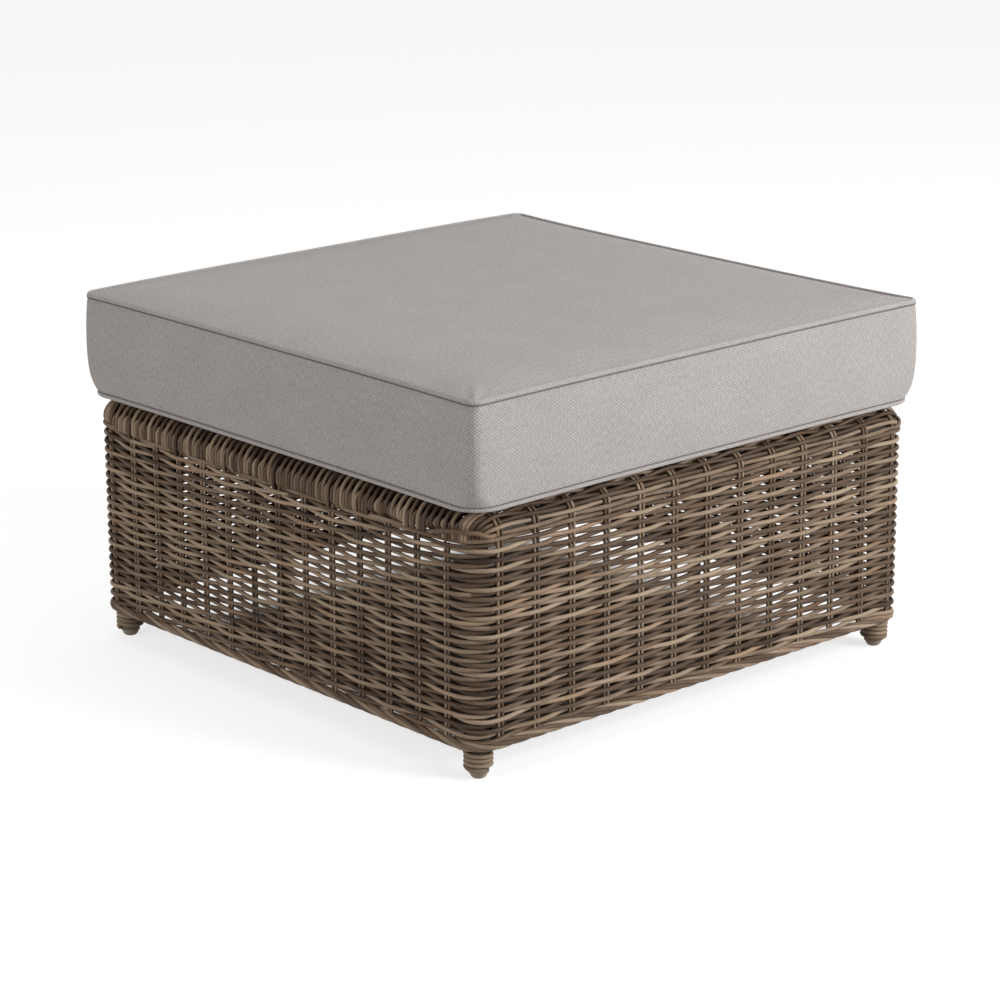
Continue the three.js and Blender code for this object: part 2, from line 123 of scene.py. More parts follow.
RISE_WAVER, WIDTH_WAVER = 0.0006, 0.0003
CORNER_ROW_FRONT, CORNER_ROW_SIDE, CORNER_ROW_TOP = 0.2983, 0.2885, 0.3015
TUBE_SIDES = 8
STEP = 0.005  # between the rings of a tube
QUARTER_TURNS = ((1, 0), (0, 1), (-1, 0), (0, -1))  # cosine and sine for each side
CELL_CORNERS = ((0, 0), (1, 0), (1, 1), (0, 1))
FRONT_FIRST, FRONT_PITCH, FRONT_PAIRS = 0.0347, 0.0565, 13  # from the middle of a corner
SIDE_FIRST, SIDE_PITCH, SIDE_SPREAD, SIDE_PAIRS = 0.0472, 0.0507, 0.008, 14
BLEND_SPAN = 0.03  # from the corner, within which a row changes from one width to the other
SIDES = ("front", "right", "back", "left")


def half_along(side):
    return HALF_WIDTH if side % 2 == 0 else HALF_DEPTH


def half_across(side):
    return half_along(side + 1)


def side_length(side):
    return 2 * (half_along(side) - CORNER_RADIUS) + 2 * HALF_CORNER


PERIMETER = sum(side_length(side) for side in range(4))


def own_pairs(side):
    """Where one side's stake pairs stand, from the middle of its first corner."""
    if side % 2 == 0:
        places = FRONT_FIRST + FRONT_PITCH * np.arange(FRONT_PAIRS)
    else:
        number = np.arange(SIDE_PAIRS)
        spread_out = SIDE_SPREAD * np.sin(math.pi * (number + 0.5) / SIDE_PAIRS)
        places = SIDE_FIRST + SIDE_PITCH * number + spread_out
    return places if side < 2 else side_length(side) - places[::-1]


def pair_places(side):
    """A side's stake pairs with one beyond each corner, and the number of the first."""
    before, after = (side - 1) % 4, (side + 1) % 4
    number = sum(len(own_pairs(other)) for other in range(side)) - 1
    return np.concatenate((
        [own_pairs(before)[-1] - side_length(before)],
        own_pairs(side),
        [side_length(side) + own_pairs(after)[0]],
    )), number


def weave_surface(side, along, rise, offset):
    """Points and outward normals at places along a side and up it, over the roll and onto the deck."""
    along, rise, offset = np.broadcast_arrays(
        np.asarray(along, float), np.asarray(rise, float), np.asarray(offset, float))
    lean = np.clip((rise - RAIL_HEIGHT) / MIDDLE_RADIUS, 0, math.pi / 2)
    past = np.maximum(rise - CREST, 0)
    reach = MIDDLE_RADIUS + offset
    inset = RAIL_INSET - reach * np.cos(lean) + past
    height = np.minimum(rise, RAIL_HEIGHT) + reach * np.sin(lean)
    straight = 2 * (half_along(side) - CORNER_RADIUS)
    past_corner = along - HALF_CORNER
    turn = (np.minimum(past_corner, 0) + np.maximum(past_corner - straight, 0)) / CORNER_RADIUS
    x = np.clip(past_corner, 0, straight) - straight / 2 + (CORNER_RADIUS - inset) * np.sin(turn)
    y = CORNER_RADIUS - half_across(side) - (CORNER_RADIUS - inset) * np.cos(turn)
    out_x, out_y = np.sin(turn) * np.cos(lean), -np.cos(turn) * np.cos(lean)
    c, s = QUARTER_TURNS[side]
    points = np.stack((c * x - s * y, s * x + c * y, height), -1)
    normals = np.stack((c * out_x - s * out_y, s * out_x + c * out_y, np.sin(lean)), -1)
    return points, normals


def smooth(share):
    share = np.clip(share, 0, 1)
    return share * share * (3 - 2 * share)


def distances(points):
    """How far each point lies along the line through them all."""
    return np.concatenate(([0], np.cumsum(np.linalg.norm(np.diff(points, axis=0), axis=1))))


def waver(distance, span, size, seed, waves=(3, 7, 12)):
    """A small smooth irregularity that repeats over the span."""
    random = np.random.default_rng(seed)
    total = np.zeros_like(distance)
    for wave in waves:
        turns = wave * random.integers(2, 9)
        total += np.sin(2 * math.pi * (turns * distance / span + random.random())) * random.random()
    return size * total / len(waves)


class Strands:
    """Round strands gathered into one mesh, each with its own tone and its own strip of the bake's map."""

    def __init__(self, name):
        self.name = name
        self.items = []

    def add(self, path, normals, width, tone, start=0.0, fibre=None, trim=False):
        """Trimmed, a path gives up its first and last points, which only steer its ends."""
        path = np.asarray(path, float)
        tangent = np.gradient(path, axis=0)
        tangent /= np.linalg.norm(tangent, axis=1, keepdims=True)
        across = np.cross(tangent, normals)
        across /= np.linalg.norm(across, axis=1, keepdims=True)
        upward = np.cross(across, tangent)
        angle = np.arange(TUBE_SIDES) / TUBE_SIDES * 2 * math.pi
        ring = np.cos(angle)[:, None] * upward[:, None, :] + np.sin(angle)[:, None] * across[:, None, :]
        radius = np.broadcast_to(np.asarray(width, float) / 2, len(path))
        kept = slice(1, -1) if trim else slice(None)
        distance = distances(path[kept])
        self.items.append({
            "points": (path[:, None, :] + radius[:, None, None] * ring)[kept],
            "angle": angle,
            "distance": distance,
            "fibre": distance + start if fibre is None else fibre[kept],
            "tone": np.broadcast_to(np.asarray(tone, float), len(path))[kept],
        })

    def build(self, material):
        longest = max(item["distance"][-1] for item in self.items)
        points, loops, totals, tones, fibres, maps, smooths, ends = [], [], [], [], [], [], [], []
        count = 0
        for index, item in enumerate(self.items):
            rings, sides = item["points"].shape[:2]
            number = count + np.arange(rings * sides).reshape(rings, sides)
            after = np.roll(number, -1, axis=1)
            quads = np.stack((number[:-1], number[1:], after[1:], after[:-1]), -1).reshape(-1, 4)
            points.append(item["points"].reshape(-1, 3))
            loops += [quads.ravel(), number[0], number[-1][::-1]]
            totals += [np.full(len(quads), 4), np.array([sides, sides])]
            smooths += [np.ones(len(quads), bool), np.zeros(2, bool)]
            along = item["distance"][:, None] + np.zeros(sides)
            tones.append(np.repeat(item["tone"], sides))
            fibres.append(np.stack((
                np.broadcast_to(np.cos(item["angle"]), along.shape),
                np.broadcast_to(np.sin(item["angle"]), along.shape),
                item["fibre"][:, None] + np.zeros(sides),
            ), -1).reshape(-1, 3))
            maps += self.strip(index, along / longest, rings, sides)
            ends.append(np.isin(np.arange(rings), (0, rings - 1)).repeat(sides))
            count += rings * sides
        mesh = mesh_from(self.name, np.concatenate(points), np.concatenate(loops),
                         np.concatenate(totals), np.concatenate(smooths))
        pairs = np.empty(2 * len(mesh.edges), np.int32)
        mesh.edges.foreach_get("vertices", pairs)
        sharp = mesh.attributes.new("sharp_edge", "BOOLEAN", "EDGE")
        sharp.data.foreach_set("value", np.concatenate(ends)[pairs.reshape(-1, 2)].all(axis=1))
        tone = mesh.attributes.new("tone", "FLOAT", "POINT")
        tone.data.foreach_set("value", np.concatenate(tones).astype(np.float32))
        fibre = mesh.attributes.new("fibre", "FLOAT_VECTOR", "POINT")
        fibre.data.foreach_set("vector", np.concatenate(fibres).astype(np.float32).ravel())
        layer = mesh.uv_layers.new(name="OFBake")
        layer.uv.foreach_set("vector", np.concatenate(maps).astype(np.float32).ravel())
        return place(self.name, mesh, material)

    def strip(self, index, share, rings, sides):
        """The corners' places on the map: one strip for each strand."""
        edge = 0.04
        low = (index + edge) / len(self.items)
        tall = (1 - 2 * edge) / len(self.items)
        u = edge / 2 + (1 - edge) * share
        v = low + tall * np.arange(sides + 1) / sides + np.zeros((rings, 1))
        u = np.concatenate((u, u[:, :1]), axis=1)
        place_of = np.stack((u, v), -1)
        quads = np.stack((place_of[:-1, :-1], place_of[1:, :-1], place_of[1:, 1:], place_of[:-1, 1:]), 2)
        return [quads.reshape(-1, 2), place_of[0, :-1], place_of[-1, :-1][::-1]]


def mesh_from(name, points, loops, totals, smooths):
    mesh = bpy.data.meshes.new(name)
    mesh.vertices.add(len(points))
    mesh.vertices.foreach_set("co", np.asarray(points, np.float32).ravel())
    mesh.loops.add(len(loops))
    mesh.loops.foreach_set("vertex_index", np.asarray(loops, np.int32))
    mesh.polygons.add(len(totals))
    starts = np.concatenate(([0], np.cumsum(totals)[:-1]))
    mesh.polygons.foreach_set("loop_start", starts.astype(np.int32))
    mesh.polygons.foreach_set("use_smooth", smooths)
    mesh.update(calc_edges=True)
    mesh.validate()
    return mesh


def place(name, mesh, material):
    mesh.materials.append(material)
    return linked(name, mesh)


def place_faces(name, points, faces, material):
    mesh = bpy.data.meshes.new(name)
    mesh.from_pydata(points, [], faces)
    return place(name, mesh, material)


# Node materials
def new_material(name):
    material = bpy.data.materials.new(name)
    material.use_nodes = True
    tree = material.node_tree
    return material, tree, tree.nodes["Principled BSDF"]


def node(tree, kind, inputs=None, **settings):
    made = tree.nodes.new(kind)
    for key, value in settings.items():
        setattr(made, key, value)
    for key, value in (inputs or {}).items():
        if isinstance(value, bpy.types.NodeSocket):
            tree.links.new(value, made.inputs[key])
        else:
            made.inputs[key].default_value = value
    return made


def reckon(tree, operation, *values):
    return node(tree, "ShaderNodeMath", dict(enumerate(values)), operation=operation).outputs[0]


def spread(tree, value, low, high, new_low=0.0, new_high=1.0, **settings):
    """A value whose span from low to high is stretched to another and held inside it."""
    return node(tree, "ShaderNodeMapRange", {
        "Value": value, "From Min": low, "From Max": high, "To Min": new_low, "To Max": new_high,
    }, **settings).outputs["Result"]


def noise(tree, spot, scale, detail, roughness=0.5):
    return node(tree, "ShaderNodeTexNoise", {
        "Vector": spot, "Scale": scale, "Detail": detail, "Roughness": roughness}).outputs["Fac"]


def stretched(tree, spot, factors):
    return node(tree, "ShaderNodeVectorMath", {0: spot, 1: factors}, operation="MULTIPLY").outputs[0]


def scaled(tree, colour, level):
    return node(tree, "ShaderNodeVectorMath", {0: colour, "Scale": level}, operation="SCALE").outputs[0]


def mixed(tree, factor, first, second, **settings):
    return node(tree, "ShaderNodeMix", {"Factor": factor, "A": first, "B": second},
                data_type="RGBA", **settings).outputs["Result"]


def bumped(tree, shader, height, strength, distance):
    bump = node(tree, "ShaderNodeBump", {"Height": height, "Strength": strength, "Distance": distance})
    tree.links.new(bump.outputs["Normal"], shader.inputs["Normal"])


def background_rays(tree):
    """1 for rays that see the floor and the world as a plain background, 0 for those that light."""
    path = node(tree, "ShaderNodeLightPath")
    seen = path.outputs["Is Camera Ray"]
    for kind in ("Is Glossy Ray", "Is Transmission Ray"):
        seen = reckon(tree, "MAXIMUM", seen, path.outputs[kind])
    return seen


def ramp(tree, value, stops):
    made = node(tree, "ShaderNodeValToRGB", {"Fac": value})
    elements = made.color_ramp.elements
    while len(elements) < len(stops):
        elements.new(0.5)
    for element, (position, colour) in zip(elements, stops):
        element.position = position
        element.color = (*colour, 1)
    return made.outputs["Color"]


def linear(*levels):
    """A colour written in the screen's levels, 0 to 255, as Blender's nodes want it."""
    return tuple(
        level / 255 / 12.92 if level <= 10 else ((level / 255 + 0.055) / 1.055) ** 2.4 for level in levels)


PAINTED_INNER_SHADE = 0.30  # painted shade: a strand's inner face is darkened to this share of its colour, in place of the dark inside the base
RUDDY = (1.0, 0.9, 0.83)  # what some patches of a strand are tinted with


def wicker_material(name, dark, mid, light):
    """Round plastic strand: tone by strand, long streaks and patches along it, satin, with painted shade on
    its inner face.
    """
    material, tree, shader = new_material(name)
    tone = node(tree, "ShaderNodeAttribute", attribute_name="tone").outputs["Fac"]
    fibre = node(tree, "ShaderNodeAttribute", attribute_name="fibre").outputs["Vector"]
    streaks = noise(tree, stretched(tree, fibre, (1.6, 1.6, 45.0)), 1.6, 4.0, 0.65)
    patch_space = stretched(tree, fibre, (0.25, 0.25, 9.0))
    patches = noise(tree, patch_space, 1.0, 1.0)
    blend = reckon(tree, "ADD", reckon(tree, "ADD", tone, patches), streaks)
    colour = ramp(tree, spread(tree, blend, 0.75, 2.1), [(0.0, dark), (0.5, mid), (1.0, light)])
    ruddy = spread(tree, noise(tree, patch_space, 0.7, 0.0), 0.52, 0.72)
    colour = mixed(tree, ruddy, colour, (*RUDDY, 1), blend_type="MULTIPLY")
    # Painted shade: the strand's inward-facing side is darkened, down to the inner share set above
    facing = node(tree, "ShaderNodeSeparateXYZ", {0: fibre}).outputs["X"]
    colour = scaled(tree, colour, spread(tree, facing, -0.7, 0.3, PAINTED_INNER_SHADE, 1.0))
    tree.links.new(colour, shader.inputs["Base Color"])
    tree.links.new(spread(tree, streaks, 0.0, 1.0, 0.42, 0.68), shader.inputs["Roughness"])
    bumped(tree, shader, streaks, 0.35, 0.0006)
    shader.inputs["Specular IOR Level"].default_value = 0.14
    return material


WICKER = wicker_material("wicker", linear(50, 39, 31), linear(106, 88, 73), linear(176, 156, 134))
# Painted light: the stakes' copy of the wicker has lighter dark and middle tones than the strands', lifting
# them out of the shade where they lie recessed in the weave
STAKE_WICKER = wicker_material(
    "stake_wicker", linear(84, 68, 56), linear(128, 109, 92), linear(170, 150, 130))


# Woven sides
def tones_along(distance, seed, joins=3):
    """A strand's tone, which changes where one strand ends and the next begins."""
    random = np.random.default_rng(seed)
    places = np.sort(random.random(joins)) * PERIMETER
    levels = random.random(joins)
    return levels[np.searchsorted(places, distance) % joins]


def weave_offset(places, number, along, row):
    """Which side of the stakes a row lies on, swinging from one pair to the next."""
    i = np.clip(np.searchsorted(places, along) - 1, 0, len(places) - 2)
    share = (along - places[i]) / (places[i + 1] - places[i])
    return SWING * np.cos(math.pi * share) * (-1.0) ** (number + i + row)


def top_rise(side, corner):
    """How high the uppermost row runs, at a distance from the nearer corner."""
    low, span, power = (TOP_ROW_FRONT, 0.15, 2) if side % 2 == 0 else (TOP_ROW_SIDE, 0.075, 1.5)
    return low + (TOP_ROW_CORNER - low) * np.exp(-(np.abs(corner) / span) ** power)


def round_base(side, along):
    """Distance round the base, counted from its back right corner."""
    order = (2, 3, 0, 1)
    return along + sum(side_length(other) for other in order[:order.index(side)])


def ring_row(strands, side, row):
    length = side_length(side)
    along = np.linspace(0, length, round(length / STEP) + 1)
    along = np.concatenate(([-STEP], along, [length + STEP]))
    place_round = round_base(side, along)
    places, number = pair_places(side)
    offset = weave_offset(places, number, along, row)
    corner = np.minimum(along, length - along)
    dip = CORNER_DIP * np.exp(-(corner / CORNER_DIP_SPAN) ** 2) * max(0, 1 - row / CORNER_DIP_ROWS)
    share = row / (RING_ROWS - 1)
    climb = share * (1 - TIGHTER + TIGHTER * share)
    rise = FIRST_ROW + climb * (top_rise(side, corner) - FIRST_ROW) - dip
    rise += waver(place_round, PERIMETER, RISE_WAVER, 100 + row)
    if row == RING_ROWS - 1:
        rise, offset = top_row(rise, offset)
    own = STRAND if side % 2 == 0 else SIDE_STRAND
    strand = own + (STRAND - own) * np.exp(-(corner / BLEND_SPAN) ** 2)
    width = strand + waver(place_round, PERIMETER, WIDTH_WAVER, 300 + row)
    points, normals = weave_surface(side, along, rise, offset)
    strands.add(points, normals, width, tones_along(place_round, 500 + row),
                fibre=place_round + 3.1 * row, trim=True)


def top_row(rise, offset):
    """The uppermost row bows up a little in front of every other pair."""
    front = offset / SWING
    return rise + TOP_ROW_BOW * front, offset + TOP_ROW_PROUD * np.maximum(front, 0)


# The corner row, one more along the front, which ends on the left and the right
CORNER_TURN = 0.012  # from the middle of a corner to where it starts to swing along the front
CORNER_SWAY = 0.0015  # how much it bows up in front of a stake pair on the sides
CORNER_PROUD = 0.0008
CORNER_REACH = SIDE_FIRST + 3 * SIDE_PITCH


def corner_row_course(side, along):
    """Rise and offset of the row above the uppermost, which runs in front of the weave at the corners."""
    length = side_length(side)
    places, number = pair_places(side)
    offset = weave_offset(places, number, along, RING_ROWS)
    corner = np.minimum(along, length - along)
    if side == 0:
        share = smooth((corner - CORNER_TURN) / (FRONT_FIRST - CORNER_TURN))
        offset = np.where(corner < FRONT_FIRST, SWING * (1 - 2 * share), offset)
        low, span, power, sway = CORNER_ROW_FRONT, 0.011, 2, 0.0007
    else:
        offset = np.where(corner < SIDE_FIRST, SWING, offset)
        low, span, power, sway = CORNER_ROW_SIDE, 0.07, 3, CORNER_SWAY
    near = np.exp(-(corner / span) ** power)
    rise = low + (CORNER_ROW_TOP - low) * near + sway * offset / SWING
    return rise + (CORNER_SWAY - sway) * near, offset + CORNER_PROUD


def corner_row(strands):
    """It rises round the corners and ends behind the sides' stakes."""
    reach = CORNER_REACH + 0.006
    parts = []
    for side in (3, 0, 1):
        length = side_length(side)
        along = np.linspace(0, length, round(2 * length / STEP) + 1)
        if side == 3:
            along = along[along > length - reach]
        if side == 1:
            along = along[along < reach]
        rise, offset = corner_row_course(side, along)
        if side != 0:
            corner = np.minimum(along, length - along)
            rise = rise - CORNER_SWAY * smooth((corner - reach + SIDE_PITCH) / SIDE_PITCH)
        parts.append(weave_surface(side, along, rise, offset))
    points = np.concatenate([part[0][1:] for part in parts])
    normals = np.concatenate([part[1][1:] for part in parts])
    strands.add(points, normals, STRAND, 0.6, start=4.0)


def stake_pair(strands, side, place_along, top, seed):
    """Two stakes side by side, from the bottom border to the given rise."""
    rise = np.arange(WALL_FOOT - 0.006, top, STEP)
    random = np.random.default_rng(seed)
    for shift in (-STAKE_GAP / 2, STAKE_GAP / 2):
        along = place_along + shift + waver(rise, 0.4, 0.0003, seed + 7)
        points, normals = weave_surface(side, along, rise, 0)
        strands.add(points, normals, STAKE, random.random(), start=random.random() * 90)


def woven_side(side):
    strands = Strands(f"wicker_side_{SIDES[side]}")
    for row in range(RING_ROWS):
        ring_row(strands, side, row)
    piece = strands.build(WICKER)
    stakes = Strands(f"wicker_stakes_{SIDES[side]}")
    for i, place_along in enumerate(own_pairs(side)):
        rolls = side % 2 == 0
        corner = min(place_along, side_length(side) - place_along) < HALF_CORNER
        top = DECK_MIDDLE if rolls else TOP_ROW_SIDE + STRAND / 2
        if rolls and corner:
            top = CREST + CORNER_BEND / 2
        stake_pair(stakes, side, place_along, top, 40 * side + i)
    for item in (piece, stakes.build(STAKE_WICKER)):
        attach(item, "base")
        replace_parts(item, f"woven_wall_{SIDES[side]}")


for side in range(4):
    woven_side(side)


# The deck's strands, which lie along X, roll over the left and right rails and end under the top row
DECK_ROWS = 67  # on the front half, the middle one among them
DECK_STRAND = 0.0052
WRAP_END = 0.0005  # how far above the middle of the top row the wraps end
LOW_WRAP_DROP, LOW_WRAP_PROUD = 0.0055, 0.0022  # of the wraps that reach lower, and in front of the top row
TUCK, LOW_TUCK, TUCK_SPAN = 0.0040, 0.0035, 0.006  # how far a wrap's end goes in, and over what height
FAN_START = 0.048  # where the rows on the roll begin to turn down, from the middle of the corner
FAN_POWER = 2.6
FAN_LIFT, FAN_LIFT_SPAN = 0.0030, 0.045
FAN_STEPS = 22
BEHIND_ROW = 0.0013  # how far inside the middle of the weave a strand passes behind the corner row


def lay(strands, points, normals, seed):
    strands.add(points, normals, DECK_STRAND, np.random.default_rng(seed).random(), start=seed * 1.7)


def low_pairs():
    """The stake pairs, counted from the front, whose wraps reach lower in front of the top row."""
    return (own_pairs(1) - side_length(1) / 2)[[1, 3, 4, 6, 8, 10, 12]]


def deck_rise(row, half):
    """How far up the front or back the strand lies, counted from the corner row's own height."""
    return CORNER_ROW_FRONT + row * (DECK_MIDDLE - CORNER_ROW_FRONT) / (DECK_ROWS - 1 - half)


def tucked(offset, depth, rise, end):
    """The offset of a wrap whose lower end goes inwards, behind the top row."""
    return offset - depth * smooth((end + TUCK_SPAN - rise) / TUCK_SPAN)


def past_course(course, rise):
    """0 well above the corner row's own rise, 1 below where a strand has passed behind it."""
    return smooth((course + 0.010 - rise) / 0.007)


def tail(side, corner, rise, offset):
    """A wrap's lower end: behind the corner row where that lies in front, else behind the top row."""
    if corner < CORNER_REACH:
        along = side_length(side) - corner if side == 3 else corner
        course, front = (float(value[0]) for value in corner_row_course(side, np.array([along])))
        if front > -0.0005:
            behind = float(np.clip(front - 0.0058, -0.0032, -BEHIND_ROW))
            share = past_course(course, rise)
            return offset * (1 - share) + behind * share
    return tucked(offset, TUCK, rise, top_rise(side, corner) + WRAP_END)


def fan_row(strands, side, row, half, seed):
    """A strand on the front or back roll, which turns down over the roll at both corners."""
    length = side_length(side)
    rise = deck_rise(row, half)
    fan_rows = math.floor((CREST + CORNER_BEND - deck_rise(0, half)) / ROW_PITCH) + 1
    end = (fan_rows - row - 0.5) * ROW_PITCH - HALF_CORNER
    share = np.linspace(0, 1, FAN_STEPS)
    turned = FAN_START - (FAN_START - end) * np.sin(share * math.pi / 2) ** (2 / FAN_POWER)
    fallen = np.cos(share * math.pi / 2) ** (2 / FAN_POWER)
    straight = np.arange(FAN_START + STEP, length - FAN_START - STEP / 2, STEP)
    along = np.concatenate((turned[::-1], straight, length - turned))
    corner = np.minimum(along, length - along)
    lift = FAN_LIFT * (1 - (row / fan_rows) ** 3)
    faded = lift * np.exp(-((corner - FAN_START) / FAN_LIFT_SPAN) ** 2)
    level = rise + np.where(corner < FAN_START, lift, faded)
    foot = top_rise(1, max(-end, 0)) + WRAP_END
    rises = np.concatenate((foot + (level[:FAN_STEPS] - foot) * fallen[::-1], level[FAN_STEPS:-FAN_STEPS],
                            foot + (level[-FAN_STEPS:] - foot) * fallen))
    places, number = pair_places(side)
    swung = weave_offset(places, number, np.clip(along, places[1], places[-2]), RING_ROWS + row)
    past = np.maximum(places[1] - along, 0) + np.maximum(along - places[-2], 0)
    settle = smooth(past / 0.03)
    offset = swung * (1 - settle) + WRAP_OFFSET * settle
    if half == 0:
        course = corner_row_course(side, np.maximum(corner, 0))[0]
        share = past_course(course, rises) * smooth(past / 0.01)
        offset = offset * (1 - share) - BEHIND_ROW * share
    else:
        offset = tucked(offset, TUCK, rises, foot)
    points, normals = weave_surface(side, along, rises, offset)
    lay(strands, points, normals, seed)


def deck_row(strands, depth, row, seed):
    """A strand straight across the deck, with a wrap at each end."""
    low = min(abs(depth - place_depth) for place_depth in low_pairs()) < ROW_PITCH / 2
    corner = side_length(1) / 2 - abs(depth)
    top = CREST + HALF_WIDTH - RAIL_INSET
    lowest = top_rise(1, corner) + WRAP_END
    if low:
        lowest -= LOW_WRAP_DROP
    rise = np.arange(lowest, top, STEP / 2)
    x = HALF_WIDTH - RAIL_INSET - (rise - CREST)
    deck_places = FRONT_FIRST + FRONT_PITCH * np.arange(FRONT_PAIRS - 1) - side_length(0) / 2
    deck_places = np.append(deck_places, -deck_places[0])
    wraps = []
    for sign in (-1, 1):
        here = np.clip(sign * x, deck_places[0], deck_places[-1])
        swung = weave_offset(deck_places, 0, here, row)
        lean = (rise - RAIL_HEIGHT) / MIDDLE_RADIUS
        under = swung[np.argmin(np.abs(rise - CREST))] < 0
        settle = smooth((math.radians(52) - lean) / math.radians(46)) if under else smooth(1.4 - lean)
        offset = swung * (1 - settle) + (WRAP_OFFSET + (LOW_WRAP_PROUD if low else 0)) * settle
        side = 3 if sign < 0 else 1
        if low:
            offset = tucked(offset, LOW_TUCK, rise, lowest)
        else:
            offset = tail(side, corner if depth < 0 else side_length(side), rise, offset)
        along = side_length(side) / 2 + (-depth if side == 3 else depth)
        wraps.append(weave_surface(side, along, rise, offset))
    (left, left_normals), (right, right_normals) = wraps
    points = np.concatenate((left, right[::-1]))
    normals = np.concatenate((left_normals, right_normals[::-1]))
    lay(strands, points, normals, seed)


def woven_deck():
    for half, (side, sign) in enumerate(((0, -1), (2, 1))):
        strands = Strands(f"wicker_deck_{SIDES[side]}")
        if side == 0:
            corner_row(strands)
        for row in range(1 - half, DECK_ROWS - 2 * half):
            rise = deck_rise(row, half)
            seed = 900 + 200 * half + row
            if rise < CREST + CORNER_BEND:
                fan_row(strands, side, row, half, seed)
            else:
                deck_row(strands, sign * (DECK_MIDDLE - rise), RING_ROWS + row + half, seed)
        piece = strands.build(WICKER)
        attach(piece, "base")
        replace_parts(piece, "woven_deck", "rail_wrap_left", "rail_wrap_right")


woven_deck()


# Bottom border: strands laid round a line under each side
BORDER_STRANDS = 5
BORDER_TWIST = 0.141  # length of one turn


def bottom_border(side):
    strands = Strands(f"wicker_border_{SIDES[side]}")
    ring = WEAVE_THICKNESS / 2 - STRAND / 2
    along = np.linspace(0, side_length(side), round(side_length(side) / STEP) + 1)
    along = np.concatenate(([-STEP], along, [along[-1] + STEP]))
    place_round = round_base(side, along)
    turns = round(PERIMETER / BORDER_TWIST)
    for i in range(BORDER_STRANDS):
        angle = -2 * math.pi * (turns * place_round / PERIMETER + i / BORDER_STRANDS)
        points, normals = weave_surface(
            side, along, BASE_FOOT + WEAVE_THICKNESS / 2 + ring * np.sin(angle), ring * np.cos(angle))
        strands.add(points, normals, STRAND, np.random.default_rng(70 + i).random(),
                    fibre=place_round + 11.0 * i, trim=True)
    piece = strands.build(WICKER)
    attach(piece, "base")
    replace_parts(piece, f"bottom_border_{SIDES[side]}")


for side in range(4):
    bottom_border(side)


# Strand wound round each foot
FOOT_START = math.radians(-97)  # where it begins on the first foot
FOOT_STEPS = 28  # in one turn
FOOT_FLARE = 0.0018  # of the last turn, under the border


def foot_wrap(corner, quarter):
    name = f"foot_wrap_{corner}"
    low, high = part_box(name)
    centre = middle(name)
    strands = Strands(f"wicker_foot_{corner}")
    post_radius = (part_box(f"post_{corner}")[1].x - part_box(f"post_{corner}")[0].x) / 2
    turns = (high.z - low.z - STRAND) / (STRAND + 0.0001)
    share = np.linspace(0, 1, round(turns * FOOT_STEPS))
    angle = FOOT_START + quarter * math.pi / 2 - share * turns * 2 * math.pi
    radius = post_radius + STRAND / 2 + waver(share, 1, 0.0006, 60 + quarter, waves=(1, 2, 3))
    radius += FOOT_FLARE * smooth((share - 0.86) / 0.12)
    height = low.z + STRAND / 2 + share * (high.z - low.z - STRAND)
    out = np.stack((np.cos(angle), np.sin(angle), np.zeros_like(angle)), -1)
    points = radius[:, None] * out + (centre.x, centre.y, 0)
    points[:, 2] = height
    strands.add(points, out, STRAND, 0.75, start=5.0 * quarter)
    piece = strands.build(WICKER)
    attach(piece, "base")
    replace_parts(piece, name)


for quarter, corner in enumerate(("front_left", "front_right", "back_right", "back_left")):
    foot_wrap(corner, quarter)


# Cushion
WELT_RADIUS = (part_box("welt_top")[1].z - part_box("welt_top")[0].z) / 2
TOP_SEAM = middle("welt_top").z
BOTTOM_SEAM = middle("welt_bottom").z
CUSHION_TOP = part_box("cover_top_panel")[1].z
CUSHION_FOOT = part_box("cover_bottom_panel")[0].z
CUSHION_HALF = [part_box("cover_boxing")[1].x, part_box("cover_boxing")[1].y]
CORNER_OF_TOP = 0.012  # radius of the corners at the upper seam
CORNER_OF_BOTTOM = 0.038  # and at the lower
DRAW_IN = 0.0035  # of the sides between the corners
BULGE = 0.0035  # of the boxing between its seams
SEAM_TUCK = 0.0015  # seams lie this far inside the cushion's widest line
EDGE_RISE, EDGE_WIDTH = 0.0036, 0.008  # of the top panel beside its welt
DOME_POWER = 3.2  # the higher, the flatter the top panel's middle
FOOT_EDGE = 0.03  # width of the bottom panel's rounded edge
BACK_RISE = 0.0032  # how much fuller the top is along the back
RIGHT_FALL = 0.0022  # how much flatter it is along the right
PANEL_CELLS, PANEL_CROWDING = 96, 0.7
BOXING_CELLS, BOXING_CROWDING = 16, 0.6
SWELL = 0.005  # at most, from the cloth's pressure


def crowded(count, amount):
    """Shares from 0 to 1, closer together at both ends."""
    share = np.linspace(0, 1, count + 1)
    return share - amount * np.sin(2 * math.pi * share) / (2 * math.pi)


def cushion_ring(radius, inset):
    """Points round a square with rounded corners and drawn-in sides, starting mid-corner."""
    points = []
    for quarter in range(4):
        half_x, half_y = CUSHION_HALF if quarter % 2 == 0 else CUSHION_HALF[::-1]
        half_x, half_y = half_x - inset, half_y - inset
        arc = radius * math.pi / 4
        straight = 2 * (half_x - radius)
        along = crowded(PANEL_CELLS, PANEL_CROWDING)[:-1] * (straight + 2 * arc)
        turn = (np.minimum(along - arc, 0) + np.maximum(along - arc - straight, 0)) / radius
        x = np.clip(along - arc, 0, straight) - straight / 2 + radius * np.sin(turn)
        y = radius - half_y - radius * np.cos(turn)
        y = y + DRAW_IN * (1 - (np.minimum(np.abs(x) / (half_x - radius), 1)) ** 3)
        c, s = QUARTER_TURNS[quarter]
        points.append(np.stack((c * x - s * y, s * x + c * y), -1))
    return np.concatenate(points)


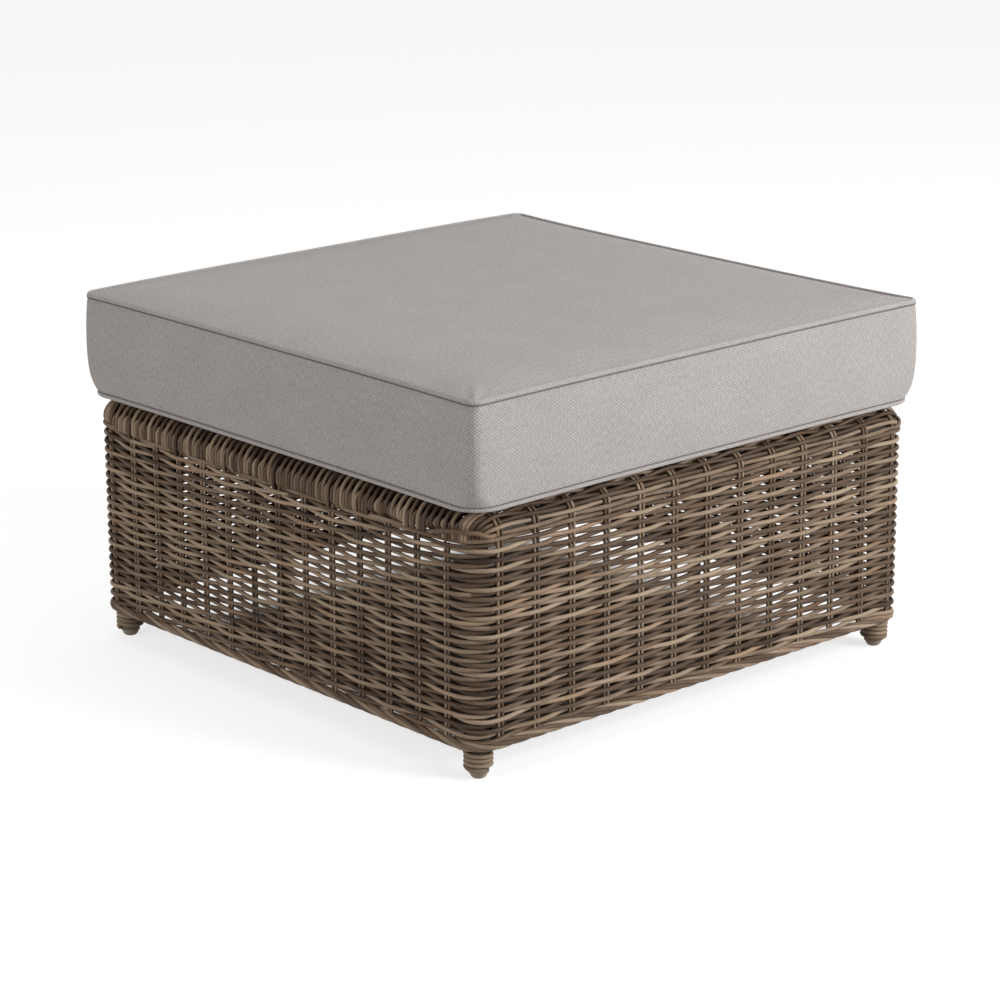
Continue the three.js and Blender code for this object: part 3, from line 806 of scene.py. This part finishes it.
def panel_grid(ring):
    """A square grid of points whose edge is the given ring."""
    cells = PANEL_CELLS
    low, right, high, left = (ring[i * cells:(i + 1) * cells] for i in range(4))
    south = np.vstack((low, right[:1]))
    east = np.vstack((right, high[:1]))
    north = np.vstack((high, left[:1]))[::-1]
    west = np.vstack((left, low[:1]))[::-1]
    u = crowded(cells, PANEL_CROWDING)[None, :, None]
    v = crowded(cells, PANEL_CROWDING)[:, None, None]
    return (
        (1 - v) * south[None] + v * north[None] + (1 - u) * west[:, None] + u * east[:, None]
        - (1 - u) * (1 - v) * south[0] - u * (1 - v) * south[-1]
        - (1 - u) * v * north[0] - u * v * north[-1])


def bow(x, y):
    """How far the top lies above its plain level."""
    u, v = x / CUSHION_HALF[0], y / CUSHION_HALF[1]
    rise = BACK_RISE * np.maximum(v, 0) ** 2 * np.maximum(1 - u ** 4, 0)
    return rise - RIGHT_FALL * np.maximum(u, 0) ** 2 * np.maximum(1 - v ** 4, 0)


def boxing_ring(share):
    """The side band at a share of its height: its corners are fuller at the top than at the bottom."""
    radius = CORNER_OF_TOP + (CORNER_OF_BOTTOM - CORNER_OF_TOP) * (1 - share) ** 9
    return cushion_ring(radius, SEAM_TUCK - BULGE * math.sin(math.pi * share) ** 0.6)


def panel_height(x, y, seam, rise, upper):
    """Height of the top or bottom panel before the cloth swells it."""
    inner = max(0, min(CUSHION_HALF[0] - abs(x), CUSHION_HALF[1] - abs(y)))
    if not upper:
        return seam + 0.95 * rise * smooth(inner / FOOT_EDGE)
    dome = 1 - (abs(x) / CUSHION_HALF[0]) ** DOME_POWER
    dome *= 1 - (abs(y) / CUSHION_HALF[1]) ** DOME_POWER
    edge_rise = EDGE_RISE * smooth(inner / EDGE_WIDTH)
    return seam + edge_rise + (rise - EDGE_RISE - 0.001) * dome + bow(x, y)


def cushion_shell():
    """Boxing and two panels as one closed mesh: points, faces and their corners' places on the cloth."""
    cells = PANEL_CELLS
    around = 4 * cells
    points, faces, cloth = [], [], []
    shares = crowded(BOXING_CELLS, BOXING_CROWDING)
    rings = [boxing_ring(min(1, max(0, share))) for share in shares]
    heights = BOTTOM_SEAM + shares * (TOP_SEAM - BOTTOM_SEAM)
    for ring, height, share in zip(rings, heights, shares):
        points += [(x, y, height + share * bow(x, y)) for x, y in ring]
    distance = distances(np.vstack((rings[-1], rings[-1][:1])))
    for level in range(BOXING_CELLS):
        for i in range(around):
            j = (i + 1) % around
            faces.append((level * around + i, level * around + j,
                          (level + 1) * around + j, (level + 1) * around + i))
            cloth.append([(distance[i + di], heights[level + dl]) for di, dl in CELL_CORNERS])
    for ring, first, seam, rise, upper in (
        (rings[-1], BOXING_CELLS * around, TOP_SEAM, CUSHION_TOP - TOP_SEAM, True),
        (rings[0], 0, BOTTOM_SEAM, CUSHION_FOOT - BOTTOM_SEAM, False),
    ):
        grid = panel_grid(ring)
        number = np.zeros((cells + 1, cells + 1), int)
        edge = [(0, i) for i in range(cells)] + [(i, cells) for i in range(cells)]
        edge += [(cells, cells - i) for i in range(cells)] + [(cells - i, 0) for i in range(cells)]
        for i, spot in enumerate(edge):
            number[spot] = first + i
        for i in range(1, cells):
            for j in range(1, cells):
                number[i, j] = len(points)
                x, y = grid[i, j]
                points.append((x, y, panel_height(x, y, seam, rise, upper)))
        for i in range(cells):
            for j in range(cells):
                corners = [(i, j), (i, j + 1), (i + 1, j + 1), (i + 1, j)]
                if not upper:
                    corners = corners[::-1]
                faces.append(tuple(number[spot] for spot in corners))
                cloth.append([tuple(grid[spot]) for spot in corners])
    return points, faces, cloth


YARNS = {"X": 0.00273, "Y": 0.0020}  # width of the yarns along each way of the cloth


def fabric_material(name, warp, weft):
    """Outdoor cloth in a plain weave of thick yarns, with flecks."""
    material, tree, shader = new_material(name)
    spot = node(tree, "ShaderNodeUVMap", uv_map="cloth").outputs["UV"]
    split = node(tree, "ShaderNodeSeparateXYZ", {0: spot})
    waves = [reckon(tree, "SINE", reckon(tree, "MULTIPLY", split.outputs[axis], math.pi / yarn))
             for axis, yarn in YARNS.items()]
    check = reckon(tree, "MULTIPLY", *waves)
    size = reckon(tree, "ABSOLUTE", check)
    flecks = noise(tree, stretched(tree, spot, (420.0, 160.0, 1.0)), 1.0, 3.0)
    cloud = noise(tree, spot, 14.0, 3.0)
    level = reckon(tree, "MULTIPLY", spread(tree, flecks, 0.3, 0.7, 0.84, 1.13),
                   spread(tree, cloud, 0.3, 0.7, 0.965, 1.03))
    level = reckon(tree, "MULTIPLY", level, spread(tree, size, 0.0, 0.45, 0.80, 1.0))
    colour = mixed(tree, spread(tree, check, -0.5, 0.5), (*warp, 1), (*weft, 1))
    tree.links.new(scaled(tree, colour, level), shader.inputs["Base Color"])
    bumped(tree, shader, size, 0.5, 0.0005)
    shader.inputs["Roughness"].default_value = 0.93
    shader.inputs["Specular IOR Level"].default_value = 0.2
    shader.inputs["Sheen Weight"].default_value = 0.12
    shader.inputs["Sheen Roughness"].default_value = 0.5
    return material


FABRIC = fabric_material("cushion_fabric", linear(197, 192, 189), linear(166, 160, 156))


def inflate(piece, pinned):
    """Cloth pressure swells the panels between the seams, which stay where they are sewn."""
    rest = np.array([v.co for v in piece.data.vertices])
    group = piece.vertex_groups.new(name="seams")
    group.add(pinned, 1.0, "REPLACE")
    cloth = piece.modifiers.new("cloth", "CLOTH")
    settings = cloth.settings
    settings.quality = 4
    settings.mass = 0.3
    settings.tension_stiffness = settings.compression_stiffness = 25
    settings.shear_stiffness = 12
    settings.bending_stiffness = 2
    settings.use_pressure = True
    settings.uniform_pressure_force = 4
    settings.vertex_group_mass = "seams"
    settings.effector_weights.gravity = 0
    cloth.collision_settings.use_collision = False
    scene = bpy.context.scene
    cloth.point_cache.frame_start, cloth.point_cache.frame_end = 1, 20
    for number in range(1, 21):
        scene.frame_set(number)
    shaped = piece.evaluated_get(bpy.context.evaluated_depsgraph_get())
    moved = np.array([v.co for v in shaped.data.vertices]) - rest
    piece.modifiers.remove(cloth)
    piece.vertex_groups.remove(group)
    scene.frame_set(1)
    length = np.maximum(np.linalg.norm(moved, axis=1, keepdims=True), 1e-9)
    moved *= SWELL * np.tanh(length / SWELL) / length
    piece.data.vertices.foreach_set("co", (rest + moved).astype(np.float32).ravel())
    piece.data.update()


ZIP_LOW, ZIP_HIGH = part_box("zip_chain")
ZIP_HOLD, ZIP_FADE = 0.010, 0.030  # how far round the zip the side band is flat, and then fades


def hold_at_zip(piece):
    """Keeps the side band just inside the zip."""
    seat = ZIP_LOW.y - 0.0003
    for vertex in piece.data.vertices:
        x, y, z = vertex.co
        if y > seat:
            beyond = math.hypot(max(abs(x) - ZIP_HIGH.x, 0), max(ZIP_LOW.z - z, z - ZIP_HIGH.z, 0))
            vertex.co.y = seat + (y - seat) * smooth((beyond - ZIP_HOLD) / ZIP_FADE)


def cushion():
    points, faces, cloth = cushion_shell()
    piece = place_faces("cushion_cover", points, faces, FABRIC)
    layer = piece.data.uv_layers.new(name="cloth")
    layer.uv.foreach_set("vector", np.array(cloth, np.float32).reshape(-1, 2).ravel())
    piece.data.polygons.foreach_set("use_smooth", np.ones(len(faces), bool))
    around = 4 * PANEL_CELLS
    inflate(piece, [*range(around), *range(BOXING_CELLS * around, (BOXING_CELLS + 1) * around)])
    hold_at_zip(piece)
    finer = piece.modifiers.new("finer", "SUBSURF")
    finer.levels = finer.render_levels = 1
    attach(piece, "cushion")
    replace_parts(piece, "foam_core", "cover_top_panel", "cover_boxing", "cover_bottom_panel")


cushion()


def seam_tube(name, seam, radius, inset, wide, thick, tilt, material):
    """A flattened tube that follows a seam all round."""
    ring = cushion_ring(radius, inset)
    upper = seam > (TOP_SEAM + BOTTOM_SEAM) / 2
    points = np.column_stack((ring, seam + bow(ring[:, 0], ring[:, 1]) * upper))
    sides = 12
    tangent = np.roll(points, -1, axis=0) - np.roll(points, 1, axis=0)
    tangent /= np.linalg.norm(tangent, axis=1, keepdims=True)
    upward = np.array([0, 0, 1.0])
    outward = np.cross(tangent, upward)
    long_axis = math.cos(tilt) * outward - math.sin(tilt) * upward
    short_axis = math.sin(tilt) * outward + math.cos(tilt) * upward
    angle = np.arange(sides) / sides * 2 * math.pi
    rings = points[:, None, :] + (
        wide * np.cos(angle)[:, None] * long_axis[:, None, :]
        + thick * np.sin(angle)[:, None] * short_axis[:, None, :])
    number = np.arange(len(points) * sides).reshape(-1, sides)
    ahead = np.roll(number, -1, axis=0)
    quads = np.stack((number, ahead, np.roll(ahead, -1, axis=1), np.roll(number, -1, axis=1)), -1)
    mesh = mesh_from(name, rings.reshape(-1, 3), quads.ravel(), np.full(number.size, 4),
                     np.ones(number.size, bool))
    distance = distances(np.vstack((points, points[:1])))
    round_step = math.pi * (wide + thick) / sides
    i, j = np.divmod(np.arange(len(points) * sides), sides)
    spots = [np.stack((
        distance[i + a] + (j + b) * round_step, (j + b) * round_step - 0.4 * distance[i + a]), -1)
        for a, b in CELL_CORNERS]
    layer = mesh.uv_layers.new(name="cloth")
    layer.uv.foreach_set("vector", np.stack(spots, 1).astype(np.float32).ravel())
    piece = place(name, mesh, material)
    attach(piece, "cushion")
    return piece


# Painted shade: thin dark tubes in the creases under the top welt and above the bottom welt stand in for
# the shade in the recess where the boxing meets the welts
PAINTED_SEAM_SHADE = fabric_material("painted_seam_shade", linear(140, 135, 132), linear(112, 107, 104))
SEAM_RADIUS = 0.0007
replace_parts(seam_tube("cushion_welt_top", TOP_SEAM + 0.0008, CORNER_OF_TOP, 0.0022,
                      0.0036, 0.0024, math.radians(45), FABRIC), "welt_top")
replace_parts(seam_tube("cushion_welt_bottom", BOTTOM_SEAM, CORNER_OF_BOTTOM, 0.0008,
                      WELT_RADIUS, WELT_RADIUS, 0, FABRIC), "welt_bottom")
seam_tube("cushion_seam_painted_shade_top", TOP_SEAM - 0.0031, CORNER_OF_TOP + 0.001, 0.0002,
          SEAM_RADIUS, SEAM_RADIUS, 0, PAINTED_SEAM_SHADE)
seam_tube("cushion_seam_painted_shade_bottom", BOTTOM_SEAM + 0.0034, CORNER_OF_BOTTOM - 0.004, 0.0006,
          SEAM_RADIUS, SEAM_RADIUS, 0, PAINTED_SEAM_SHADE)


# Metal, plastic and tape
def metal_material(name, colour, roughness, metallic):
    """Powder coat or plain metal with a fine orange peel."""
    material, tree, shader = new_material(name)
    spot = node(tree, "ShaderNodeTexCoord").outputs["Object"]
    grain, patch = noise(tree, spot, 700.0, 2.0), noise(tree, spot, 12.0, 4.0)
    worn = tuple(min(1, level * 1.25) for level in colour)
    tree.links.new(ramp(tree, patch, [(0.35, colour), (0.75, worn)]), shader.inputs["Base Color"])
    dull = spread(tree, patch, 0.0, 1.0, roughness - 0.08, roughness + 0.1)
    tree.links.new(dull, shader.inputs["Roughness"])
    bumped(tree, shader, grain, 0.2, 0.0002)
    shader.inputs["Metallic"].default_value = metallic
    return material


FRAME_COAT = metal_material("frame_coat", linear(70, 61, 54), 0.5, 0.3)
GLIDE_PLASTIC = metal_material("glide_plastic", linear(142, 128, 110), 0.6, 0.0)
ZIP_METAL = metal_material("zip_metal", linear(150, 146, 140), 0.35, 0.9)
ZIP_TAPE = metal_material("zip_tape", linear(128, 120, 113), 0.85, 0.0)

TAPE_GAP = 0.0002
TOOTH_WIDTH, TOOTH_DEPTH, TOOTH_HEIGHT = 0.0018, 0.0007, 0.0026
TOOTH_PITCH = 0.0026
TOOTH_SHIFT = 0.0006  # of the teeth, by turns down and up


def zip_teeth():
    """The zip's two tapes and its row of interlocking teeth, in the place of the plain strip."""
    left, inner, bottom = ZIP_LOW
    right, outer, top = ZIP_HIGH
    middle_height = (bottom + top) / 2
    face = outer - TOOTH_DEPTH
    boxes = [((left, inner, bottom), (right, face, middle_height - TAPE_GAP / 2)),
             ((left, inner, middle_height + TAPE_GAP / 2), (right, face, top))]
    tapes = len(boxes)
    for number in range(int((right - left) / TOOTH_PITCH)):
        x = left + (number + 0.5) * TOOTH_PITCH
        z = middle_height + (TOOTH_SHIFT if number % 2 else -TOOTH_SHIFT)
        boxes.append(((x - TOOTH_WIDTH / 2, face, z - TOOTH_HEIGHT / 2),
                      (x + TOOTH_WIDTH / 2, outer, z + TOOTH_HEIGHT / 2)))
    points, faces = [], []
    for (x0, y0, z0), (x1, y1, z1) in boxes:
        first = len(points)
        points += [(x, y, z) for z in (z0, z1) for y in (y0, y1) for x in (x0, x1)]
        for corners in ((0, 2, 3, 1), (4, 5, 7, 6), (0, 1, 5, 4), (2, 6, 7, 3), (0, 4, 6, 2), (1, 3, 7, 5)):
            faces.append([first + corner for corner in corners])
    piece = place_faces("zip_teeth", points, faces, ZIP_TAPE)
    piece.data.materials.append(ZIP_METAL)
    piece.data.polygons.foreach_set("material_index", [int(i >= 6 * tapes) for i in range(len(faces))])
    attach(piece, "cushion")
    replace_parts(piece, "zip_chain")


zip_teeth()


# Finishes of the frame's own pieces
def finish_for(name):
    if name.startswith("foot_glide"):
        return GLIDE_PLASTIC
    if name.startswith("zip"):
        return ZIP_METAL
    return FRAME_COAT


for name, item in nodes.items():
    if not item.hide_render:
        item.data.materials.clear()
        item.data.materials.append(finish_for(name))


# Stage
FLOOR_HALF = 12.0
FLOOR_GLOW = 0.72  # on top of the light, so that the floor shows white and keeps its shadow
FAR_SHADE = (0.285, 0.350)  # from painted shadow to clear floor at the right and the back
NEAR_SHADE = (-0.268, -0.288)  # and at the left and the front, where the border hangs over it
# Painted shadow: the floor's colour where the base stands over it, and the plain floor's colour beyond
PAINTED_SHADOW_FLOOR, CLEAR_FLOOR = (0.05, 0.038, 0.03), (0.5, 0.5, 0.5)


def stage():
    """A plain floor with a painted shadow: its colour is dark where the base stands over it, in place of
    the deep shade in there.
    """
    corners = [(FLOOR_HALF * (2 * a - 1), FLOOR_HALF * (2 * b - 1), 0) for a, b in CELL_CORNERS]
    material, tree, shader = new_material("floor")
    shader.inputs["Roughness"].default_value = 0.9
    spot = node(tree, "ShaderNodeSeparateXYZ", {0: node(tree, "ShaderNodeNewGeometry").outputs["Position"]})
    beyond = [spread(tree, reckon(tree, way, spot.outputs["X"], spot.outputs["Y"]), *shade,
                     interpolation_type="SMOOTHSTEP")
              for way, shade in (("MAXIMUM", FAR_SHADE), ("MINIMUM", NEAR_SHADE))]
    clear = reckon(tree, "MAXIMUM", *beyond)
    # Painted shadow: the floor's colour turns dark under the base, and its glow is taken away there too
    tint = ramp(tree, clear, [(0.0, PAINTED_SHADOW_FLOOR), (1.0, CLEAR_FLOOR)])
    tree.links.new(tint, shader.inputs["Base Color"])
    strength = reckon(tree, "MULTIPLY", reckon(tree, "MULTIPLY", background_rays(tree), clear), FLOOR_GLOW)
    shader.inputs["Emission Color"].default_value = (1, 1, 1, 1)
    tree.links.new(strength, shader.inputs["Emission Strength"])
    place_faces("floor", corners, [(0, 1, 2, 3)], material)


def lamp(name, spot, aim, size, power, colour=(1, 1, 1)):
    data = bpy.data.lights.new(name, "AREA")
    data.color = colour
    data.size = size
    data.energy = power
    item = linked(name, data)
    item.location = spot
    item.rotation_euler = (Vector(aim) - Vector(spot)).to_track_quat("-Z", "Y").to_euler()


WORLD_LEVEL = 0.26  # as it lights the object; it shows as 1, plain white


def light():
    world = bpy.data.worlds.new("world")
    bpy.context.scene.world = world
    world.use_nodes = True
    tree = world.node_tree
    background = tree.nodes["Background"]
    strength = spread(tree, background_rays(tree), 0.0, 1.0, WORLD_LEVEL, 1.0)
    tree.links.new(strength, background.inputs["Strength"])
    background.inputs["Color"].default_value = (1, 1, 1, 1)
    aim = (0, 0, 0.25)
    lamp("key", (1.7, -3.6, 1.9), aim, 2.2, 157)
    lamp("fill", (-3.2, 0.4, 1.1), aim, 2.0, 31, (1.0, 0.965, 0.94))
    lamp("top", (0.3, 0.2, 3.4), aim, 2.5, 23)


stage()
light()
bpy.context.scene.view_settings.view_transform = "Standard"
